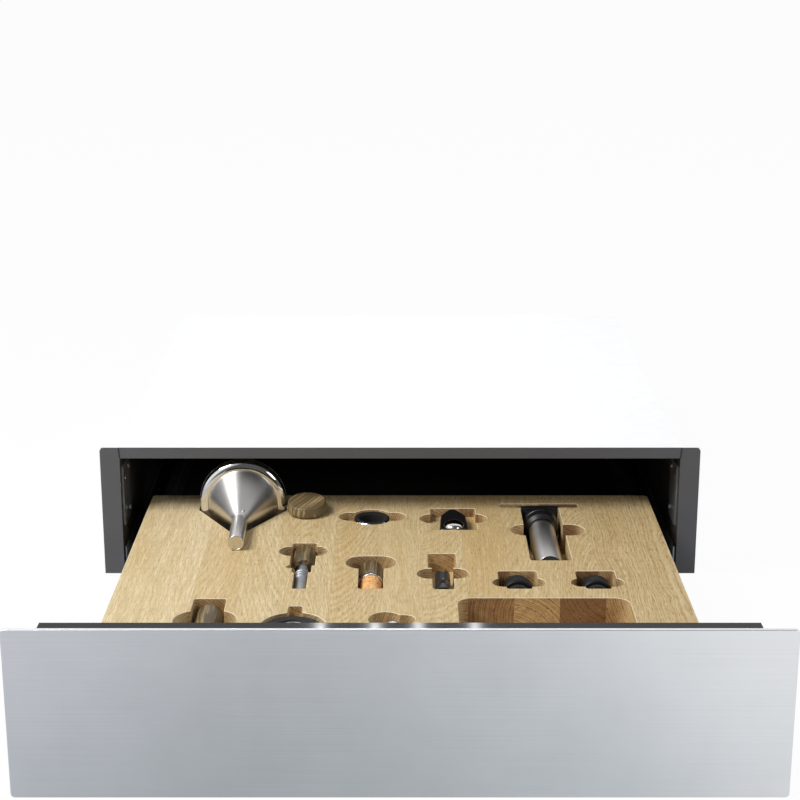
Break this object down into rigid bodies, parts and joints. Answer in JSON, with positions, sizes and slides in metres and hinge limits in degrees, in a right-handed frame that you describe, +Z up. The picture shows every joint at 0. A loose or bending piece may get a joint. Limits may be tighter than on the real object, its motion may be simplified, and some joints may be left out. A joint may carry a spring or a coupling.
{
  "type": "built-in sommelier drawer",
  "caption": "Built-in drawer for wine tools: a bare steel push-open front, telescopic slides and a solid oak tray with a shaped pocket for each tool.",
  "frame": {"origin": "on the casing's underside, at the middle of its front frame's plane", "axes": "+X to the right seen from the front, +Y into the cabinet, +Z up"},
  "size_m": [0.597, 0.947, 0.14],
  "materials": {
    "front_steel": "horizontal brush, satin",
    "casing_paint": "dark grey, satin",
    "zinc_steel": "zinc plated",
    "black_gloss": "black, high gloss",
    "core_board": "raw board",
    "black_rubber": "matte",
    "black_plastic": "fine matte",
    "oak": "oiled, laminated staves",
    "dark_wood": "striped, oiled",
    "handle_wood": "oiled",
    "cork": "natural cork",
    "polished_steel": "polished",
    "satin_steel": "turned, satin",
    "felt": "black felt"
  },
  "bodies": {
    "casing": {"casing_left_side": "casing_paint", "casing_right_side": "casing_paint", "casing_top": "casing_paint", "casing_bottom": "casing_paint", "casing_rear": "casing_paint", "casing_screws": "zinc_steel", "fixing_plate_left": "zinc_steel", "fixing_plate_right": "zinc_steel", "fixing_plate_screws": "zinc_steel", "slide_left_bracket": "zinc_steel", "slide_right_bracket": "zinc_steel", "slide_left_cabinet_rail": "zinc_steel", "slide_right_cabinet_rail": "zinc_steel", "cabinet_rail_screws": "zinc_steel", "latch_housing": "black_plastic", "latch_spring": "zinc_steel"},
    "latch_plunger": {"latch_plunger": "black_plastic"},
    "drawer": {"slide_left_drawer_rail": "zinc_steel", "slide_right_drawer_rail": "zinc_steel", "drawer_rail_screws": "zinc_steel", "drawer_pan": "zinc_steel", "front_carrier": "black_gloss", "front_core": "core_board", "front_gasket": "black_rubber", "front_plate": "front_steel", "front_screws": "zinc_steel", "striker_plate": "zinc_steel", "oak_tray": "oak", "tray_screws": "zinc_steel"},
    "left_outer_cage": {"slide_left_outer_cage": "zinc_steel"},
    "left_middle_rail": {"slide_left_middle_rail": "zinc_steel"},
    "left_inner_cage": {"slide_left_inner_cage": "zinc_steel"},
    "right_outer_cage": {"slide_right_outer_cage": "zinc_steel"},
    "right_middle_rail": {"slide_right_middle_rail": "zinc_steel"},
    "right_inner_cage": {"slide_right_inner_cage": "zinc_steel"},
    "funnel": {"funnel_bowl": "satin_steel", "funnel_spout": "polished_steel"},
    "disc_stopper": {"disc_stopper_cap": "dark_wood", "disc_stopper_plug": "black_rubber"},
    "drip_ring": {"drip_ring_band": "polished_steel", "drip_ring_felt": "felt"},
    "foil_cutter": {"foil_cutter_body": "black_plastic", "foil_cutter_dome": "polished_steel"},
    "vacuum_pump": {"pump_cylinder": "satin_steel", "pump_collar": "black_plastic", "pump_end_seal": "black_rubber", "pump_handle": "black_plastic"},
    "steel_stopper": {"steel_stopper_handle": "handle_wood", "steel_stopper_shaft": "polished_steel"},
    "cork_stopper": {"cork_stopper_head": "handle_wood", "cork_stopper_collar": "polished_steel", "cork_stopper_cork": "cork"},
    "pourer": {"pourer": "black_plastic"},
    "left_vacuum_stopper": {"vacuum_stopper_left": "black_rubber"},
    "right_vacuum_stopper": {"vacuum_stopper_right": "black_rubber"},
    "bottle_opener": {"opener_handle": "handle_wood", "opener_head": "polished_steel"},
    "bottle_ring": {"bottle_ring_rubber": "black_rubber", "bottle_ring_liner": "polished_steel"},
    "thermometer": {"thermometer_tube": "polished_steel"}
  },
  "joints": [
    {"name": "drawer_slide", "type": "slide", "parent": "casing", "child": "drawer", "axis": [0, -1, 0], "range_m": [-0.4, 0]},
    {"name": "latch_press", "type": "slide", "parent": "casing", "child": "latch_plunger", "axis": [0, 1, 0], "range_m": [0, 0.0035], "stiffness_N_per_m": 250, "springref_m": -0.006, "deforming": ["latch_spring"]},
    {"name": "left_outer_cage_slide", "type": "slide", "parent": "casing", "child": "left_outer_cage", "axis": [0, -1, 0], "range_m": [-0.1, 0]},
    {"name": "left_middle_rail_slide", "type": "slide", "parent": "casing", "child": "left_middle_rail", "axis": [0, -1, 0], "range_m": [-0.2, 0]},
    {"name": "left_inner_cage_slide", "type": "slide", "parent": "casing", "child": "left_inner_cage", "axis": [0, -1, 0], "range_m": [-0.3, 0]},
    {"name": "right_outer_cage_slide", "type": "slide", "parent": "casing", "child": "right_outer_cage", "axis": [0, -1, 0], "range_m": [-0.1, 0]},
    {"name": "right_middle_rail_slide", "type": "slide", "parent": "casing", "child": "right_middle_rail", "axis": [0, -1, 0], "range_m": [-0.2, 0]},
    {"name": "right_inner_cage_slide", "type": "slide", "parent": "casing", "child": "right_inner_cage", "axis": [0, -1, 0], "range_m": [-0.3, 0]},
    {"name": "funnel_lift", "type": "hinge", "parent": "drawer", "child": "funnel", "pos_m": [-0.158, 0.0125, 0.0313], "axis": [-1, 0, 0], "range_deg": [0, 20]},
    {"name": "disc_stopper_lift", "type": "slide", "parent": "drawer", "child": "disc_stopper", "axis": [0, 0, 1], "range_m": [0, 0.04]},
    {"name": "drip_ring_lift", "type": "slide", "parent": "drawer", "child": "drip_ring", "axis": [0, 0, 1], "range_m": [0, 0.04]},
    {"name": "foil_cutter_lift", "type": "slide", "parent": "drawer", "child": "foil_cutter", "axis": [0, 0, 1], "range_m": [0, 0.04]},
    {"name": "vacuum_pump_lift", "type": "slide", "parent": "drawer", "child": "vacuum_pump", "axis": [0, 0, 1], "range_m": [0, 0.04]},
    {"name": "steel_stopper_lift", "type": "slide", "parent": "drawer", "child": "steel_stopper", "axis": [0, 0, 1], "range_m": [0, 0.06]},
    {"name": "cork_stopper_lift", "type": "slide", "parent": "drawer", "child": "cork_stopper", "axis": [0, 0, 1], "range_m": [0, 0.06]},
    {"name": "pourer_lift", "type": "slide", "parent": "drawer", "child": "pourer", "axis": [0, 0, 1], "range_m": [0, 0.06]},
    {"name": "left_vacuum_stopper_lift", "type": "slide", "parent": "drawer", "child": "left_vacuum_stopper", "axis": [0, 0, 1], "range_m": [0, 0.06]},
    {"name": "right_vacuum_stopper_lift", "type": "slide", "parent": "drawer", "child": "right_vacuum_stopper", "axis": [0, 0, 1], "range_m": [0, 0.06]},
    {"name": "bottle_opener_lift", "type": "slide", "parent": "drawer", "child": "bottle_opener", "axis": [0, 0, 1], "range_m": [0, 0.06]},
    {"name": "bottle_ring_lift", "type": "slide", "parent": "drawer", "child": "bottle_ring", "axis": [0, 0, 1], "range_m": [0, 0.06]},
    {"name": "thermometer_lift", "type": "slide", "parent": "drawer", "child": "thermometer", "axis": [0, 0, 1], "range_m": [0, 0.06]}
  ],
  "couplings": [
    {"joint": "left_outer_cage_slide", "follows": "drawer_slide", "ratio": 0.25},
    {"joint": "left_middle_rail_slide", "follows": "drawer_slide", "ratio": 0.5},
    {"joint": "left_inner_cage_slide", "follows": "drawer_slide", "ratio": 0.75},
    {"joint": "right_outer_cage_slide", "follows": "drawer_slide", "ratio": 0.25},
    {"joint": "right_middle_rail_slide", "follows": "drawer_slide", "ratio": 0.5},
    {"joint": "right_inner_cage_slide", "follows": "drawer_slide", "ratio": 0.75}
  ]
}
